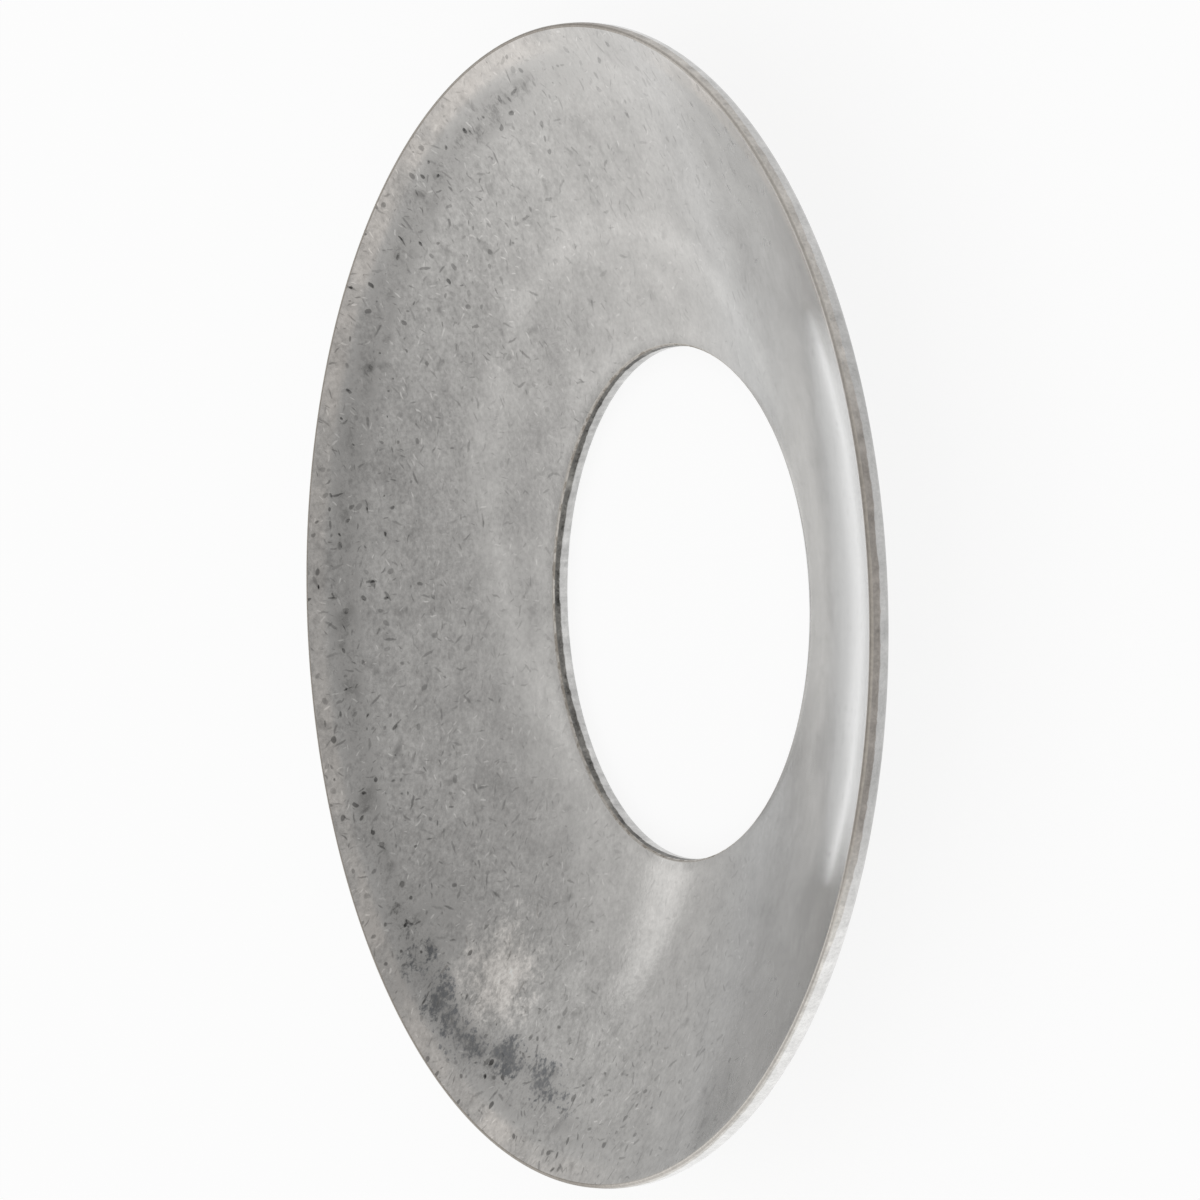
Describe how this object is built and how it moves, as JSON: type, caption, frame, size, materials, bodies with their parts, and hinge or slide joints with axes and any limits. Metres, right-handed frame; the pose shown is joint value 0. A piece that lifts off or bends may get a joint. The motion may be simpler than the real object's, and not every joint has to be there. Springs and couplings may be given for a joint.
{
  "type": "thrust washer",
  "caption": "Dished steel thrust washer with a round bore, spherical hollow and domed bearing faces, and sheared edges. It takes the end thrust of a gear with a domed back.",
  "frame": {"origin": "middle of the circle that the washer rests on, at its lowest height, on the axis of the bore", "axes": "+Z along the axis of the bore, out of the hollow face; the washer lies on the bore's lower edge with its rim raised, and X and Y are equal"},
  "size_m": [0.05, 0.05, 0.0061],
  "materials": {
    "washer_steel": "plain tumbled steel, satin grey, with fine pits and handling marks"
  },
  "bodies": {
    "root": {"thrust_washer": "washer_steel"}
  },
  "joints": []
}
